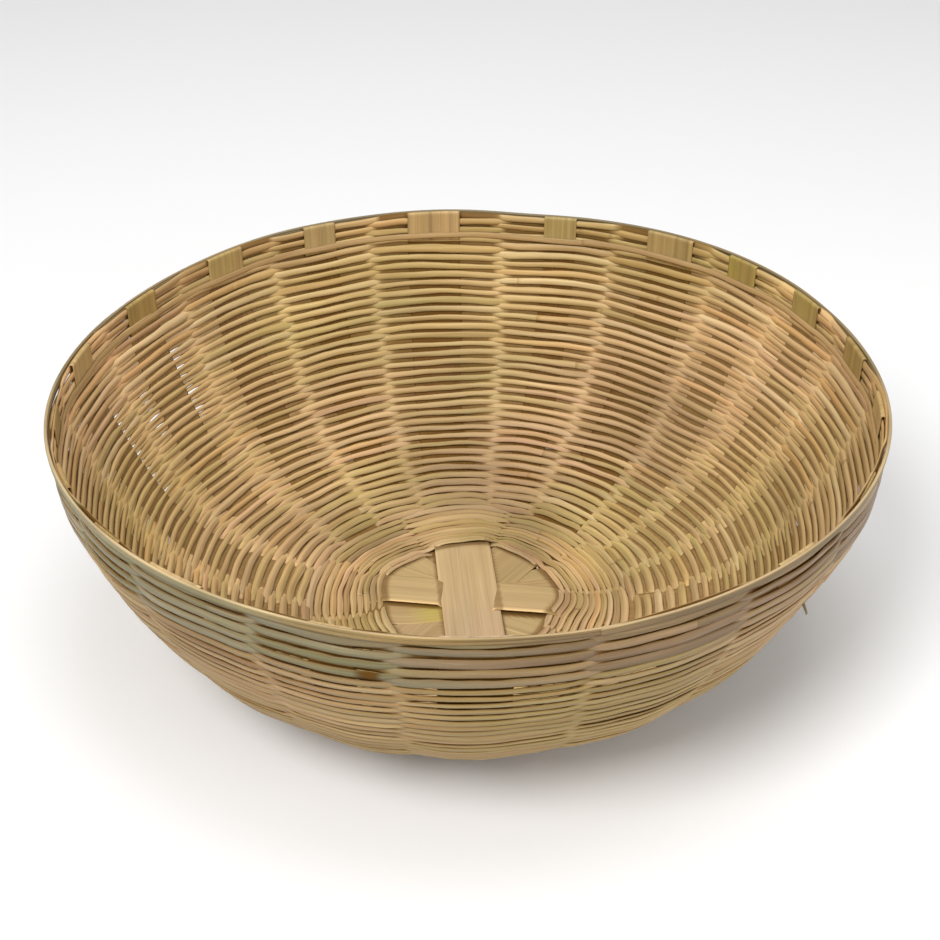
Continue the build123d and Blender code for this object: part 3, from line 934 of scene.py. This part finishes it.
# ------------------------------------------------------------------ inner row over the folded ends
lock = Mesh()
sl = rows[i_lock]
rl = radii[i_lock]
base = np.full(GRID, 1.72)
for j in range(N_ST):
    lateral = rl * np.sin(np.radians(wrap(PHI - ST_AZ[j]))) - side_shift(j, rl)
    on = (np.abs(lateral) < ST_W[j] / 2 + 1.0) & (np.abs(wrap(PHI - ST_AZ[j])) < 40)
    base[on] = WEAVE_T / 2 + 0.12 + SLAT_T + 0.50
base = ring_smooth(base, rl, 3.5)
for a0, a1 in ((20.0, 215.0), (209.0, 386.0)):
    n = int((a1 - a0) * 1.4)
    az = np.linspace(a0, a1, n)
    dist = np.minimum(az - a0, a1 - az) * math.pi / 180 * RIM_R
    ends = 1 - smooth(dist / 18.0)
    off = np.interp(az % 360.0, np.append(PHI, 360.0), np.append(base, base[0])) + ends * np.where(az - a0 < a1 - az, 0.35, -0.35)
    r, z, tr, tz = mid_at(sl + Wobble(16, 0.4, 1.0)(az, 0.0))
    y = SECTION[None, :, 0] * (3.3 * (1 + Wobble(20, 0.1, 1.0)(az, 0.0)))[:, None]
    h = SECTION[None, :, 1] * 1.05 + off[:, None]
    rr = r[:, None] + tr[:, None] * y - tz[:, None] * h
    zz = z[:, None] + tz[:, None] * y + tr[:, None] * h
    a = np.radians(az)[:, None]
    pts = np.stack([rr * np.sin(a), rr * np.cos(a), zz], -1)
    tone = (0.94 * BASE)[None, :] * (1 + Wobble(14, 0.12, 1.0)(az, 0.0))[:, None]
    flank = np.clip((np.abs(SECTION[:, 0]) - 0.33) / 0.17, 0, 1)[None, :]
    fib = np.stack([np.broadcast_to((np.radians(az - a0) * 0.2)[:, None], (n, N_SEC)),
                    np.broadcast_to(SECTION[None, :, 0] * 2, (n, N_SEC)), np.full((n, N_SEC), 0.3 + a0)], -1)
    # painted shade on the flanks of the row
    lock.strip(pts, np.broadcast_to(tone[:, None, :], (n, N_SEC, 3)), fib, 0.5 * flank * np.ones((n, 1)))
lock.make("tab_lock_splint_row", M_WEAVER, "weaver", ["tab_lock_splint"])

# ------------------------------------------------------------------ stage, light, camera
floor_mat = bpy.data.materials.new("pale_floor")
nt = nodes_of(floor_mat)
fb = nt.nodes.new("ShaderNodeBsdfPrincipled")
fo = nt.nodes.new("ShaderNodeOutputMaterial")
fb.inputs["Base Color"].default_value = (0.86, 0.86, 0.86, 1)
fb.inputs["Roughness"].default_value = 0.9
nt.links.new(fb.outputs["BSDF"], fo.inputs["Surface"])
fm = bpy.data.meshes.new("floor")
fm.from_pydata([(-6, -6, 0), (6, -6, 0), (6, 6, 0), (-6, 6, 0)], [], [(0, 1, 2, 3)])
fm.materials.append(floor_mat)
floor = bpy.data.objects.new("floor", fm)
bpy.context.scene.collection.objects.link(floor)
floor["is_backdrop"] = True

world = bpy.data.worlds.new("studio")
bpy.context.scene.world = world
world.use_nodes = True
world.node_tree.nodes["Background"].inputs["Color"].default_value = (1.0, 1.0, 1.0, 1)
world.node_tree.nodes["Background"].inputs["Strength"].default_value = 0.50


def area(name, loc, target, size, power):
    li = bpy.data.lights.new(name, "AREA")
    li.shape = "DISK"
    li.size = size
    li.energy = power
    o = bpy.data.objects.new(name, li)
    bpy.context.scene.collection.objects.link(o)
    o.location = loc
    o.rotation_mode = "QUATERNION"
    o.rotation_quaternion = (Vector(target) - Vector(loc)).to_track_quat("-Z", "Y")
    return o


area("key_light", (-0.72, -1.15, 1.6), (0, 0, 0.05), 0.9, 31)
area("top_light", (0.2, 0.0, 2.0), (0, 0, 0.05), 1.2, 12)
area("fill_light", (1.5, -1.2, 0.9), (0, 0, 0.07), 1.2, 10)

cam = bpy.data.cameras.new("camera")
cam.sensor_width = 36.0
cam.lens = 1646.0 / 940.0 * 36.0
cam.shift_x = 2.0 / 940.0
co = bpy.data.objects.new("camera", cam)
bpy.context.scene.collection.objects.link(co)
e = math.radians(29.9)
co.location = (0.0, -0.8 * math.cos(e), HEIGHT * 0.001 + 0.8 * math.sin(e))
co.rotation_euler = (math.radians(90.0 - 33.1), 0.0, 0.0)
bpy.context.scene.camera = co
bpy.context.scene.view_settings.view_transform = "Standard"

lo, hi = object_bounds()
